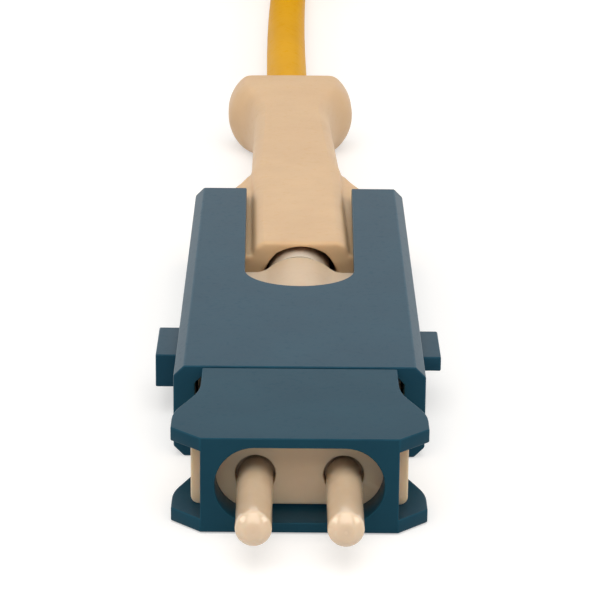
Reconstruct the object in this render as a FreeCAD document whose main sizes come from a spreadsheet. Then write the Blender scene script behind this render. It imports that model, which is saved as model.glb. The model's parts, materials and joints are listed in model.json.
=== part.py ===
import FreeCAD, Part
import math
import os
import Sketcher

# A two-fibre cable: a slim push-pull plug with two 1.25 mm ferrules at each end of a round jacketed cable.
# Each plug is drawn in its own frame: Y runs from the nose (0) to the boot, Z = 0 is its middle plane.
# The near plug lies flat with its box centred on the origin. Its cable runs back along +Y to a tied hank.

Vector = FreeCAD.Vector
doc = FreeCAD.newDocument("duplex_fibre_cable")

# Driving dimensions in millimetres, and degrees for the lean
DRIVING = {
    # ferrules, hubs and springs
    "ferrule_dia": 1.25, "ferrule_pitch": 3.1, "ferrule_reach": 3.85, "ferrule_drop": 0.12,
    "ferrule_chamfer": 0.26,
    "root_front": 1.58, "root_dia": 0.9, "socket_rear": 3.3,
    "hub_front": 2.1, "hub_rear": 3.5, "hub_across_corners": 1.9, "hub_tail_dia": 0.9, "hub_tail_rear": 8.0,
    "fibre_hole_dia": 0.4,
    "spring_wire": 0.26, "spring_dia": 1.56, "spring_turns": 5.0, "spring_gap": 0.03,
    # nose
    "nose_thick": 3.5, "plate_thick": 0.5, "frame_width": 6.9, "frame_depth": 1.4, "wing_width": 9.02,
    "wing_front": 1.05, "wing_rear": 2.5, "neck_front": 4.85, "neck_width": 7.2, "nose_rear": 7.3,
    "window_width": 5.9, "window_height": 2.76, "wing_round": 3.0, "neck_round": 4.0,
    "peg_side": 0.8, "peg_x": 2.95, "peg_y": 5.6, "peg_long": 0.35,
    # ferrule holder
    "holder_width": 7.64, "holder_rear": 15.5, "holder_round": 0.3,
    "front_hole_dia": 1.42, "chamber_dia": 2.0,
    "hook_front": 4.4, "hook_rear": 9.0, "hook_depth": 0.32,
    "latch_front": 12.0, "latch_depth": 0.52, "latch_half_high": 0.85, "notch_depth": 0.82,
    "notch_front": 12.2, "notch_rear": 13.2, "latch_gap": 0.05,
    # outer housing
    "housing_width": 9.36, "housing_thick": 3.56, "housing_front": 7.4, "housing_rear": 31.75,
    "housing_chamfer": 0.39, "cavity_width": 7.76, "cavity_high": 2.72, "cavity_bevel": 0.26,
    "slot_front": 17.25, "slot_front_width": 4.48, "slot_rear_width": 4.76,
    "key_front": 12.0, "tall_key_rear": 15.35, "tall_key_proud": 0.88, "tall_key_low": -0.71,
    "tall_key_high": 0.61, "short_key_rear": 15.15, "short_key_proud": 0.8, "short_key_low": 0.02,
    "short_key_high": 0.6,
    "stop_depth": 0.42, "stop_half_high": 0.7, "release_travel": 1.2,
    "lug_front": 27.6, "lug_rear": 29.4, "lug_proud": 0.55, "lug_half_high": 0.7, "lug_room": 0.2,
    # back body
    "block_rear": 18.0, "deck_rear": 22.65, "deck_half_high": 0.62,
    "crown_half_wide": 1.48, "crown_radius": 1.95, "crown_rear": 22.65, "crown_fillet": 0.8,
    "ear_front": 20.1, "ear_rear": 21.9, "ear_proud": 0.4, "ear_half_high": 0.55,
    "post_front": 10.5, "post_dia": 1.9, "post_hole_dia": 0.9, "fan_front": 16.0, "fan_rear": 22.3,
    "fan_half_wide": 2.0, "fan_half_high": 0.4, "stem_rear": 28.0, "stem_dia": 2.2, "stem_hole_dia": 1.0,
    # crimp ring
    "ring_front": 22.7, "ring_rear": 29.5, "ring_dia": 2.7,
    # boot
    "boot_front": 23.4, "boot_width": 4.14, "boot_thick": 3.5, "boot_bevel": 0.4, "boot_nose_bevel": 0.12,
    "wrist": 36.3, "wrist_taper": 1.0,
    "shoulder_front": 23.55, "shoulder_width": 7.4, "shoulder_thick": 2.3, "shoulder_rear": 31.0,
    "shoulder_end": 34.8,
    "flange_front": 51.3, "flange_rear": 53.9, "flange_dia": 6.5, "flange_bevel": 0.4, "flange_flat": 4.7,
    "flare_front": 47.5, "flare_waist": 2.9, "flare_middle": 49.7, "flare_dia": 4.1,
    "boot_front_bore": 3.06, "boot_step": 29.8, "boot_bore": 2.8,
    "boot_lean": 1.0, "lean_y": 27.6,
    # fibres and cable
    "fibre_dia": 0.25, "cable_dia": 2.2,
    # hank and far plug, in the row frame
    "fold_radius": 6.6, "hank_run": 35.0, "hank_middle_y": 94.1, "hank_turns": 4.4, "hank_waist": 8.8,
    "tie_wide": 3.2, "tie_thick": 0.5, "far_plug_x": 4.4, "far_plug_y": 133.0,
}


class Size:
    """A number that remembers the formula over the sheet that it came from."""

    def __init__(self, value, formula):
        self.value = value
        self.formula = formula

    def joined(self, other, sign, value):
        text = other.formula if isinstance(other, Size) else repr(other)
        return Size(value, "(" + self.formula + " " + sign + " " + text + ")")

    def __add__(self, other):
        return self.joined(other, "+", self.value + number(other))

    def __sub__(self, other):
        return self.joined(other, "-", self.value - number(other))

    def __mul__(self, other):
        return self.joined(other, "*", self.value * number(other))

    def __truediv__(self, other):
        return self.joined(other, "/", self.value / number(other))

    def __neg__(self):
        return Size(-self.value, "(-" + self.formula + ")")


def number(size):
    return size.value if isinstance(size, Size) else float(size)


class Sheet:
    """The spreadsheet of driving dimensions, read as attributes that are Sizes."""

    def __init__(self, driving):
        self.cells = doc.addObject("Spreadsheet::Sheet", "dims")
        for row, (alias, value) in enumerate(driving.items(), start=1):
            self.cells.set("A%d" % row, alias)
            self.cells.set("B%d" % row, str(value))
            self.cells.setAlias("B%d" % row, alias)
            setattr(self, alias, Size(value, "dims." + alias))
        doc.recompute()


d = Sheet(DRIVING)


# Sketches and features

def bind(target, path, size):
    """Ties one property to its formula."""
    if isinstance(size, Size):
        target.setExpression(path, size.formula)


def pin_point(sketch, geometry, point, u, v):
    """Fixes one end of a sketch edge at (u, v) from the sketch's origin."""
    for kind, axis, size in (("DistanceX", -2, u), ("DistanceY", -1, v)):
        if not isinstance(size, Size) and size == 0:
            sketch.addConstraint(Sketcher.Constraint("PointOnObject", geometry, point, axis))
            continue
        index = sketch.addConstraint(Sketcher.Constraint(kind, -1, 1, geometry, point, number(size)))
        bind(sketch, "Constraints[%d]" % index, size)


def arc_between(start, end, radius):
    """The short arc from start to end: a positive radius turns left, a negative one right."""
    middle = (start + end) * 0.5
    chord = end - start
    rise = math.sqrt(max(radius * radius - chord.Length ** 2 / 4, 0.0))
    left = Vector(-chord.y, chord.x, 0) / chord.Length
    centre = middle + left * math.copysign(rise, radius)
    first, last = (start, end) if radius > 0 else (end, start)
    angles = [math.atan2(p.y - centre.y, p.x - centre.x) for p in (first, last)]
    circle = Part.Circle(centre, Vector(0, 0, 1), abs(radius))
    if angles[1] <= angles[0]:
        angles[1] += 2 * math.pi
    return Part.ArcOfCircle(circle, *angles)


def draw(sketch, corners):
    """Adds a closed outline. A corner is (u, v), or (u, v, radius) where an arc leads to it."""
    points = [Vector(number(c[0]), number(c[1]), 0) for c in corners]
    first = sketch.GeometryCount
    ends = []
    for i, corner in enumerate(corners):
        start = points[i - 1]
        if len(corner) == 2:
            sketch.addGeometry(Part.LineSegment(start, points[i]), False)
            ends.append((1, 2))
        else:
            sketch.addGeometry(arc_between(start, points[i], number(corner[2])), False)
            ends.append((1, 2) if number(corner[2]) > 0 else (2, 1))
    for i, corner in enumerate(corners):
        edge, following = first + i, first + (i + 1) % len(corners)
        sketch.addConstraint(Sketcher.Constraint("Coincident", edge, ends[i][1], following,
                                                 ends[(i + 1) % len(corners)][0]))
        pin_point(sketch, edge, ends[i][1], corner[0], corner[1])
        if len(corner) == 3:
            half_chord = (points[i] - points[i - 1]).Length / 2
            if abs(abs(number(corner[2])) - half_chord) < 1e-6:
                middle = (points[i] + points[i - 1]) * 0.5
                along_v = abs(points[i].x - points[i - 1].x) > abs(points[i].y - points[i - 1].y)
                kind, size = ("DistanceY", corner[1]) if along_v else ("DistanceX", corner[0])
                if abs(middle.y if along_v else middle.x) < 1e-9:
                    sketch.addConstraint(Sketcher.Constraint("PointOnObject", edge, 3, -1 if along_v else -2))
                    continue
                index = sketch.addConstraint(Sketcher.Constraint(kind, -1, 1, edge, 3, number(size)))
                bind(sketch, "Constraints[%d]" % index, size)
            else:
                size = corner[2] if number(corner[2]) > 0 else -corner[2]
                index = sketch.addConstraint(Sketcher.Constraint("Radius", edge, abs(number(corner[2]))))
                bind(sketch, "Constraints[%d]" % index, size)


def circle(sketch, u, v, diameter):
    """Adds a full circle."""
    centre = Vector(number(u), number(v), 0)
    index = sketch.addGeometry(Part.Circle(centre, Vector(0, 0, 1), number(diameter) / 2), False)
    pin_point(sketch, index, 3, u, v)
    dimension = sketch.addConstraint(Sketcher.Constraint("Diameter", index, number(diameter)))
    bind(sketch, "Constraints[%d]" % dimension, diameter)


def rectangle(low_u, high_u, low_v, high_v):
    return [(low_u, low_v), (high_u, low_v), (high_u, high_v), (low_u, high_v)]


def rounded_rectangle(width, height, radius):
    """A centred rectangle with round corners."""
    u, v = width / 2, height / 2
    return [(u - radius, -v), (u, -v + radius, radius), (u, v - radius), (u - radius, v, radius),
            (-u + radius, v), (-u, v - radius, radius), (-u, -v + radius), (-u + radius, -v, radius)]


def bevelled_rectangle(width, height, bevel):
    """A centred rectangle with its corners cut off."""
    u, v = width / 2, height / 2
    return [(u - bevel, -v), (u, -v + bevel), (u, v - bevel), (u - bevel, v),
            (-u + bevel, v), (-u, v - bevel), (-u, -v + bevel), (-u + bevel, -v)]


def outlines(*corner_lists):
    def draw_all(sketch):
        for corners in corner_lists:
            draw(sketch, corners)
    return draw_all


def circles(*discs):
    def draw_all(sketch):
        for u, v, diameter in discs:
            circle(sketch, u, v, diameter)
    return draw_all


class Piece:
    """One moulded, turned or pressed piece as a body. Sections across Y are drawn in X and Z."""

    def __init__(self, label):
        self.body = doc.addObject("PartDesign::Body", label)
        self.body.Label = label
        self.count = 0

    def origin(self, role):
        return [f for f in self.body.Origin.OriginFeatures if f.Role == role][0]

    def name(self, word):
        self.count += 1
        return "%s_%s_%d" % (self.body.Label, word, self.count)

    def sketch(self, plane, lift, drawing):
        sketch = self.body.newObject("Sketcher::SketchObject", self.name("sketch"))
        sketch.AttachmentSupport = [(self.origin(plane), "")]
        sketch.MapMode = "FlatFace"
        if isinstance(lift, Size):
            bind(sketch, "AttachmentOffset.Base.z", lift)
        drawing(sketch)
        return sketch

    def feature(self, kind, word, profile, length, reverse=False):
        before = self.volume()
        feature = self.body.newObject("PartDesign::" + kind, self.name(word))
        feature.Profile = profile
        feature.Reversed = reverse
        bind(feature, "Length", length)
        doc.recompute()
        changed = self.volume() - before
        if changed * (1 if kind == "Pad" else -1) <= 1e-6:
            raise RuntimeError("%s changes nothing" % feature.Name)
        return feature

    def volume(self):
        shape = self.body.Shape
        return 0.0 if shape.isNull() else shape.Volume

    def pad_y(self, word, drawing, low, high):
        return self.feature("Pad", word, self.sketch("XZ_Plane", -low, drawing), high - low, True)

    def pocket_y(self, word, drawing, low, high):
        return self.feature("Pocket", word, self.sketch("XZ_Plane", -low, drawing), high - low)

    def pad_z(self, word, drawing, low, high):
        return self.feature("Pad", word, self.sketch("XY_Plane", low, drawing), high - low)

    def pocket_z(self, word, drawing, low, high):
        return self.feature("Pocket", word, self.sketch("XY_Plane", high, drawing), high - low)

    def pocket_x(self, word, drawing, low, high):
        return self.feature("Pocket", word, self.sketch("YZ_Plane", high, drawing), high - low)

    def turned(self, word, corners, kind="Revolution"):
        """Turns an outline drawn in radius and Y about the body's Y axis."""
        feature = self.body.newObject("PartDesign::" + kind, self.name(word))
        feature.Profile = self.sketch("XY_Plane", 0, outlines(corners))
        feature.ReferenceAxis = (self.origin("Y_Axis"), [""])
        feature.Angle = 360
        doc.recompute()
        return feature

    def edged(self, kind, size_name, size, wanted):
        """Rounds or bevels the edges of the tip whose middle point is wanted."""
        tip = self.body.Tip
        names = []
        for i, edge in enumerate(tip.Shape.Edges, start=1):
            middle = edge.valueAt((edge.FirstParameter + edge.LastParameter) / 2)
            if wanted(edge, middle):
                names.append("Edge%d" % i)
        feature = self.body.newObject("PartDesign::" + kind, self.name(kind.lower()))
        feature.Base = (tip, names)
        bind(feature, size_name, size)
        doc.recompute()
        return feature

    def placed(self, plug, x=None, lean=0.0):
        """Sets the body down in the row frame as a piece of the plug."""
        self.body.Placement = plug.placement(lean)
        for axis, size in zip("xyz", plug.corner(x, lean)):
            bind(self.body, "Placement.Base." + axis, size)
        doc.recompute()


class Plug:
    """Where one plug lies: the near one faces -Y, the far one is turned round to face +Y."""

    def __init__(self, prefix, x, y, turned):
        self.prefix, self.x, self.y, self.turned = prefix, x, y, turned

    def placement(self, lean):
        angle = lean + (180 if self.turned else 0)
        return FreeCAD.Placement(Vector(), FreeCAD.Rotation(Vector(0, 0, 1), angle))

    def corner(self, x, lean):
        """The row-frame place of the plug's own origin, moved to the ferrule line at x or swung about the
        lean point."""
        side = -1 if self.turned else 1
        away = self.x
        along = self.y
        high = d.housing_thick / 2
        if x is not None:
            away = away + x * side
            high = high - d.ferrule_drop
        if lean:
            away = away + d.lean_y * math.sin(math.radians(lean))
            along = along + d.lean_y * (1 - math.cos(math.radians(lean)))
        return away, along, high

    def label(self, name):
        return self.prefix + name


# Pieces of a plug

def across(half, near, far):
    """Two rectangles, one each side of the middle, between the near and far distances and within half."""
    return outlines(rectangle(near, far, -half, half), rectangle(-far, -near, -half, half))


def pegs(side):
    """The two square pegs of one plate, or the holes for them."""
    low, high = d.peg_y - side / 2, d.peg_y + side / 2
    near, far = d.peg_x - side / 2, d.peg_x + side / 2
    return outlines(rectangle(near, far, low, high), rectangle(-far, -near, low, high))


def front_body(plug):
    piece = Piece(plug.label("front_body"))
    frame, wing, neck = d.frame_width / 2, d.wing_width / 2, d.neck_width / 2
    half = d.nose_thick / 2
    gap = half - d.plate_thick
    rear = d.nose_rear
    head = [(-frame, 0), (frame, 0), (wing, d.wing_front), (wing, d.wing_rear), (neck, d.neck_front),
            (neck, rear), (-neck, rear), (-neck, d.neck_front), (-wing, d.wing_rear), (-wing, d.wing_front)]
    piece.pad_z("head", outlines(head), -half, half)
    inside = outlines(rectangle(d.frame_depth, rear + 1, -gap, gap))
    piece.pocket_x("between_plates", inside, -wing - 1, wing + 1)
    piece.pocket_y("beside_frame", across(gap, frame, wing + 1), Size(0.0, "0"), d.frame_depth)
    u, v = d.window_width / 2, d.window_height / 2
    window = [(u - v, -v), (u - v, v, v), (-u + v, v), (-u + v, -v, v)]
    piece.pocket_y("window", outlines(window), Size(-0.1, "-0.1"), d.frame_depth + 0.1)

    def corner_at(out, along):
        def wanted(edge, middle):
            upright = abs(edge.tangentAt(edge.FirstParameter).z) > 0.9
            return upright and abs(abs(middle.x) - out.value) < 0.01 and abs(middle.y - along.value) < 0.01
        return wanted
    piece.edged("Fillet", "Radius", d.wing_round, corner_at(wing, d.wing_rear))
    piece.edged("Fillet", "Radius", d.neck_round, corner_at(neck, d.neck_front))
    for side in (-1, 1):
        face = gap if side > 0 else -gap
        low, high = (face - d.peg_long, face) if side > 0 else (face, face + d.peg_long)
        piece.pad_z("pegs", pegs(d.peg_side), low, high)
    piece.placed(plug)
    return piece


def ferrule_holder(plug):
    piece = Piece(plug.label("ferrule_holder"))
    half_high = d.nose_thick / 2 - d.plate_thick
    half_wide = d.holder_width / 2
    axis, line = d.ferrule_pitch / 2, -d.ferrule_drop
    piece.pad_y("block", outlines(rounded_rectangle(d.holder_width, half_high * 2, d.holder_round)),
                d.frame_depth, d.holder_rear)
    piece.pocket_y("front_holes", circles((axis, line, d.front_hole_dia), (-axis, line, d.front_hole_dia)),
                   d.frame_depth, d.hub_front)
    piece.pocket_y("chambers", circles((axis, line, d.chamber_dia), (-axis, line, d.chamber_dia)),
                   d.hub_front, d.holder_rear)
    for word, front, rear, depth in (("latch_tracks", d.latch_front, d.holder_rear, d.latch_depth),
                                     ("latch_notches", d.notch_front, d.notch_rear, d.notch_depth)):
        piece.pocket_y(word, across(d.latch_half_high, half_wide - depth, half_wide + 1), front, rear)
    piece.pocket_y("hook_recesses", across(half_high + 0.1, half_wide - d.hook_depth, half_wide + 1),
                   d.hook_front, d.hook_rear)
    hole = d.peg_side + d.latch_gap
    for side in (-1, 1):
        face = half_high if side > 0 else -half_high
        depth = d.peg_long + d.latch_gap
        low, high = (face - depth, face) if side > 0 else (face, face + depth)
        piece.pocket_z("peg_holes", pegs(hole), low, high)
    piece.placed(plug)
    return piece


def ferrule(plug, side, sign):
    piece = Piece(plug.label("ferrule_" + side))
    radius, root, bevel, tip = d.ferrule_dia / 2, d.root_dia / 2, d.ferrule_chamfer, -d.ferrule_reach
    piece.turned("rod", [(0, tip), (radius - bevel, tip), (radius, tip + bevel), (radius, d.root_front),
                         (root, d.root_front), (root, d.socket_rear), (0, d.socket_rear)])
    piece.placed(plug, d.ferrule_pitch / 2 * sign)
    return piece


def ferrule_hub(plug, side, sign):
    """A six-sided collar that the ferrule's root is pressed into, with a tail inside the spring."""
    piece = Piece(plug.label("ferrule_hub_" + side))
    corner = d.hub_across_corners / 2
    turns = [(math.cos(math.pi * k / 3), math.sin(math.pi * k / 3)) for k in range(6)]
    hexagon = [(corner * round(u, 6), corner * round(v, 6) if abs(v) > 0.1 else 0) for u, v in turns]
    piece.pad_y("collar", outlines(hexagon), d.hub_front, d.hub_rear)
    piece.pad_y("tail", circles((0, 0, d.hub_tail_dia)), d.hub_rear, d.hub_tail_rear)
    piece.pocket_y("socket", circles((0, 0, d.root_dia)), d.hub_front, d.socket_rear)
    piece.pocket_y("fibre_hole", circles((0, 0, d.fibre_hole_dia)), d.socket_rear, d.hub_tail_rear)
    piece.placed(plug, d.ferrule_pitch / 2 * sign)
    return piece


def spring(plug, side, sign):
    """A coil spring between the hub's collar and the back body's post, faceted along its turns."""
    low = d.hub_rear + d.spring_wire / 2 + d.spring_gap
    high = d.post_front - d.spring_wire / 2 - d.spring_gap
    radius, wire_radius, steps = d.spring_dia.value / 2, d.spring_wire.value / 2, 8
    count = int(d.spring_turns.value * steps)
    line = doc.addObject("Part::Polygon", plug.label("spring_line_" + side))
    line.Nodes = [Vector(radius * math.cos(2 * math.pi * k / steps), (high - low).value * k / count,
                         radius * math.sin(2 * math.pi * k / steps)) for k in range(count + 1)]
    across_wire = [(wire_radius * math.cos(a), wire_radius * math.sin(a)) for a in
                   (math.pi / 4 + math.pi * k / 2 for k in range(4))]
    wire = doc.addObject("Part::Polygon", plug.label("spring_wire_" + side))
    wire.Nodes = [Vector(radius + u, v, 0) for u, v in across_wire]
    wire.Close = True
    doc.recompute()
    coil = doc.addObject("Part::Sweep", plug.label("spring_" + side))
    coil.Label = plug.label("spring_" + side)
    coil.Sections = [wire]
    coil.Spine = (line, ["Edge%d" % i for i in range(1, count + 1)])
    coil.Solid = True
    coil.Frenet = True
    coil.Transition = "Right corner"
    coil.Placement = plug.placement(0)
    x, y, z = plug.corner(d.ferrule_pitch / 2 * sign, 0)
    for axis, size in zip("xyz", (x, y + low * (-1 if plug.turned else 1), z)):
        bind(coil, "Placement.Base." + axis, size)
    doc.recompute()
    return coil


def back_body(plug):
    piece = Piece(plug.label("back_body"))
    half_wide, half_high = d.holder_width / 2, d.nose_thick / 2 - d.plate_thick
    axis, line = d.ferrule_pitch / 2, -d.ferrule_drop
    deck, crown = d.deck_half_high, d.crown_half_wide
    piece.pad_y("block", outlines(bevelled_rectangle(d.holder_width, half_high * 2, d.holder_round)),
                d.holder_rear, d.block_rear)
    piece.pad_y("deck", outlines(rectangle(-half_wide, half_wide, -deck, deck)), d.block_rear, d.deck_rear)
    ears = across(d.ear_half_high, half_wide - 0.2, half_wide + d.ear_proud)
    piece.pad_y("ears", ears, d.ear_front, d.ear_rear)
    barrel = [(crown, deck), (-crown, deck, d.crown_radius), (-crown, -deck), (crown, -deck, d.crown_radius)]
    piece.pad_y("crown", outlines(barrel), d.block_rear, d.crown_rear)

    def crown_foot(edge, middle):
        lengthwise = abs(edge.tangentAt(edge.FirstParameter).y) > 0.9
        off_x, off_z = abs(middle.x) - crown.value, abs(middle.z) - deck.value
        return lengthwise and math.hypot(off_x, off_z) < 0.01
    piece.edged("Fillet", "Radius", d.crown_fillet, crown_foot)
    piece.pad_y("stem", circles((0, 0, d.stem_dia)), d.crown_rear, d.stem_rear)
    piece.pad_y("posts", circles((axis, line, d.post_dia), (-axis, line, d.post_dia)), d.post_front,
                d.holder_rear)
    arm_low, arm_high = half_wide - d.latch_depth + d.latch_gap, half_wide
    arm_half = d.latch_half_high - d.latch_gap
    piece.pad_y("latch_arms", across(arm_half, arm_low, arm_high), d.latch_front + d.latch_gap, d.holder_rear)
    hook_low = half_wide - d.notch_depth + d.latch_gap
    piece.pad_y("latch_hooks", across(arm_half, hook_low, arm_low), d.notch_front + d.latch_gap,
                d.notch_rear - d.latch_gap)
    piece.pocket_y("post_holes", circles((axis, line, d.post_hole_dia), (-axis, line, d.post_hole_dia)),
                   d.post_front, d.fan_front + 0.2)
    piece.pocket_y("stem_hole", circles((0, 0, d.stem_hole_dia)), d.fan_rear - 0.2, d.stem_rear)
    narrow = d.stem_hole_dia / 2
    fan = [(-d.fan_half_wide, d.fan_front), (d.fan_half_wide, d.fan_front), (narrow, d.fan_rear),
           (-narrow, d.fan_rear)]
    piece.pocket_z("fibre_fan", outlines(fan), -d.fan_half_high, d.fan_half_high)
    piece.placed(plug)
    return piece


def crimp_ring(plug):
    piece = Piece(plug.label("crimp_ring"))
    outer, inner = d.ring_dia / 2, d.cable_dia / 2
    piece.turned("ring", [(inner, d.ring_front), (outer, d.ring_front), (outer, d.ring_rear),
                          (inner, d.ring_rear)])
    piece.placed(plug)
    return piece


def outer_housing(plug):
    piece = Piece(plug.label("outer_housing"))
    wide, high, bevel = d.housing_width / 2, d.housing_thick / 2, d.housing_chamfer
    section = bevelled_rectangle(d.housing_width, d.housing_thick, bevel)
    piece.pad_y("sleeve", outlines(section), d.housing_front, d.housing_rear)
    tall = rectangle(-wide - d.tall_key_proud, -wide, d.tall_key_low, d.tall_key_high)
    piece.pad_y("tall_key", outlines(tall), d.key_front, d.tall_key_rear)
    short = rectangle(wide, wide + d.short_key_proud, d.short_key_low, d.short_key_high)
    piece.pad_y("short_key", outlines(short), d.key_front, d.short_key_rear)
    cavity = bevelled_rectangle(d.cavity_width, d.cavity_high, d.cavity_bevel)
    piece.pocket_y("cavity", outlines(cavity), d.housing_front - 0.1, d.housing_rear + 0.1)
    slot, mouth = d.slot_front_width / 2, d.slot_rear_width / 2
    bend, open_end = d.slot_front + slot, d.housing_rear + 1
    slots = [(slot, bend, slot), (mouth, open_end), (-mouth, open_end), (-slot, bend)]
    piece.pocket_z("boot_slots", outlines(slots), -high - 0.1, high + 0.1)
    wall = d.cavity_width / 2
    piece.pocket_y("stop_grooves", across(d.stop_half_high, wall - 0.1, wall + d.stop_depth),
                   d.ear_front - d.release_travel - d.latch_gap, d.ear_rear + d.latch_gap)
    piece.pocket_y("lug_recesses", across(d.lug_half_high + d.lug_room / 2, wall - 0.1, wall + d.stop_depth),
                   d.lug_front - d.lug_room, d.lug_rear + d.lug_room)
    piece.placed(plug)
    return piece


def boot(plug, lean):
    piece = Piece(plug.label("boot"))
    sleeve = bevelled_rectangle(d.boot_width, d.boot_thick, d.boot_bevel)
    piece.pad_y("tongue", outlines(sleeve), d.boot_front, d.wrist)
    wrist = piece.pad_y("wrist", outlines(sleeve), d.wrist, d.flange_front)
    bind(wrist, "TaperAngle", -d.wrist_taper)
    wide, wrist = d.shoulder_width / 2, d.boot_width / 2
    plan = [(-wide, d.shoulder_front), (wide, d.shoulder_front), (wide, d.shoulder_rear),
            (wrist, d.shoulder_end), (-wrist, d.shoulder_end), (-wide, d.shoulder_rear)]
    piece.pad_z("shoulders", outlines(plan), -d.shoulder_thick / 2, d.shoulder_thick / 2)
    lug = wide + d.lug_proud
    piece.pad_z("lugs", outlines(rectangle(wide - 0.2, lug, d.lug_front, d.lug_rear),
                                 rectangle(-lug, -wide + 0.2, d.lug_front, d.lug_rear)),
                -d.lug_half_high, d.lug_half_high)
    rim, bevel = d.flange_dia / 2, d.flange_bevel
    waist = d.flare_waist / 2
    piece.turned("flange", [(0, d.flare_front), (waist, d.flare_front), (d.flare_dia / 2, d.flare_middle),
                            (rim - bevel, d.flange_front),
                            (rim, d.flange_front + bevel), (rim, d.flange_rear - bevel),
                            (rim - bevel, d.flange_rear), (0, d.flange_rear)])
    flat, half = d.housing_thick / 2, d.flange_flat / 2
    bulge = rim - half
    end = (bulge * bulge + flat * flat) / (bulge * 2)
    oval = [(half, -flat), (half, flat, end), (-half, flat), (-half, -flat, end)]
    around = outlines(rectangle(-rim - 1, rim + 1, -rim - 1, rim + 1), oval)
    piece.pocket_y("oval_grip", around, d.flare_front, d.flange_rear + 0.1)
    piece.pocket_y("ring_bore", circles((0, 0, d.boot_front_bore)), d.boot_front - 0.1, d.boot_step)
    piece.pocket_y("cable_bore", circles((0, 0, d.boot_bore)), d.boot_step, d.flange_rear + 0.1)

    def nose_edge(edge, middle):
        at_front = abs(middle.y - d.boot_front.value) < 0.01
        return at_front and math.hypot(middle.x, middle.z) > d.boot_front_bore.value / 2 + 0.05
    piece.edged("Chamfer", "Size", d.boot_nose_bevel, nose_edge)
    piece.placed(plug, lean=lean)
    return piece


def tube(label, points, diameter, sides=0):
    """A cord of straight runs joined by arcs as large as the runs allow, round unless sides is given."""
    half = diameter.value / 2
    edges = []
    radii = []
    start = points[0]
    for before, point, after in zip(points, points[1:], points[2:]):
        back, ahead = before - point, after - point
        turn = math.pi - back.getAngle(ahead)
        reach = 0.45 * min(back.Length, ahead.Length)
        radius = reach / math.tan(turn / 2)
        radii.append(radius)
        back.normalize()
        ahead.normalize()
        bisector = (back + ahead).normalize()
        middle = point + bisector * (math.hypot(radius, reach) - radius)
        edges.append(Part.LineSegment(start, point + back * reach).toShape())
        edges.append(Part.Arc(point + back * reach, middle, point + ahead * reach).toShape())
        start = point + ahead * reach
    edges.append(Part.LineSegment(start, points[-1]).toShape())
    path = Part.Wire(edges)
    rim = Part.Circle(points[0], points[1] - points[0], half)
    ring = Part.Wire(rim.toShape())
    if sides:
        corners = [rim.value(2 * math.pi * k / sides) for k in range(sides)]
        ring = Part.makePolygon(corners + corners[:1])
    solid = path.makePipeShell([ring], True, True)
    share = solid.Volume / (Part.Face(ring).Area * path.Length)
    print("%s: length %.2f, radii %s, volume share %.4f"
          % (label, path.Length, ["%.1f" % r for r in radii], share))
    feature = doc.addObject("Part::Feature", label)
    feature.Label = label
    feature.Shape = solid
    return feature


def fibre(plug, side, sign):
    """A coated fibre from inside the hub's tail, through the post and the fan, into the stem."""
    axis, line, inner = d.ferrule_pitch.value / 2, -d.ferrule_drop.value, 0.2
    stations = [(axis, d.hub_tail_rear.value - 1.0, line), (axis, d.fan_front.value + 0.2, line),
                (inner, d.fan_rear.value - 0.3, 0), (inner, d.stem_rear.value - 0.1, 0)]
    place = plug.placement(0)
    place.Base = Vector(*(number(s) for s in plug.corner(None, 0)))
    points = [place.multVec(Vector(sign * x, y, z)) for x, y, z in stations]
    return tube(plug.label("fibre_" + side), points, d.fibre_dia, 6)


def build_plug(plug, lean):
    pieces = [front_body(plug), ferrule_holder(plug), back_body(plug), crimp_ring(plug), outer_housing(plug),
              boot(plug, lean)]
    nodes = [p.body for p in pieces]
    for side, sign in (("left", -1), ("right", 1)):
        nodes += [ferrule(plug, side, sign).body, ferrule_hub(plug, side, sign).body]
        nodes += [spring(plug, side, sign), fibre(plug, side, sign)]
    return nodes


# Cable: hand-set route points in the row frame, from the near crimp to the hank and on to the far crimp

NEAR_ROUTE = [(0.00, 2.975, 1.78), (-0.80, 35.0, 1.78), (-0.62, 68.0, 1.12)]
FAR_ROUTE = [(8.72, 111.6, 1.12), (8.25, 118.0, 1.12), (4.58, 127.8, 1.62), (4.36, 144.5, 1.80),
             (4.40, 158.9, 1.78)]


def hank():
    """The folded cable as one plain solid, drawn in at the waist where the strap holds it."""
    piece = Piece("cable_hank")
    end = d.fold_radius + d.cable_dia * 1.5
    far, near = d.hank_middle_y + d.hank_run / 2, d.hank_middle_y - d.hank_run / 2
    waist, strap = d.hank_waist / 2, d.tie_wide / 2
    high, low = d.hank_middle_y + strap, d.hank_middle_y - strap
    plan = [(end, near, end), (waist, low), (waist, high), (end, far), (-end, far, end), (-waist, high),
            (-waist, low), (-end, near)]
    top = d.cable_dia * d.hank_turns + d.cable_dia / 2
    piece.pad_z("bundle", outlines(plan), Size(0.0, "0"), top)
    under = outlines(rectangle(-waist - 1, waist + 1, low, high))
    piece.pocket_z("strap_groove", under, Size(0.0, "0"), d.tie_thick)
    return piece, top


def tie(top):
    """A flat strap wrapped once round the hank's waist."""
    piece = Piece("cable_tie")
    waist, strap, thick = d.hank_waist / 2, d.tie_wide / 2, d.tie_thick
    low, high = d.hank_middle_y - strap, d.hank_middle_y + strap
    outer = waist + thick
    piece.pad_y("band", outlines(rectangle(-outer, outer, 0, top + thick)), low, high)
    piece.pocket_y("loop", outlines(rectangle(-waist, waist, thick, top)), low, high)
    return piece


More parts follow.
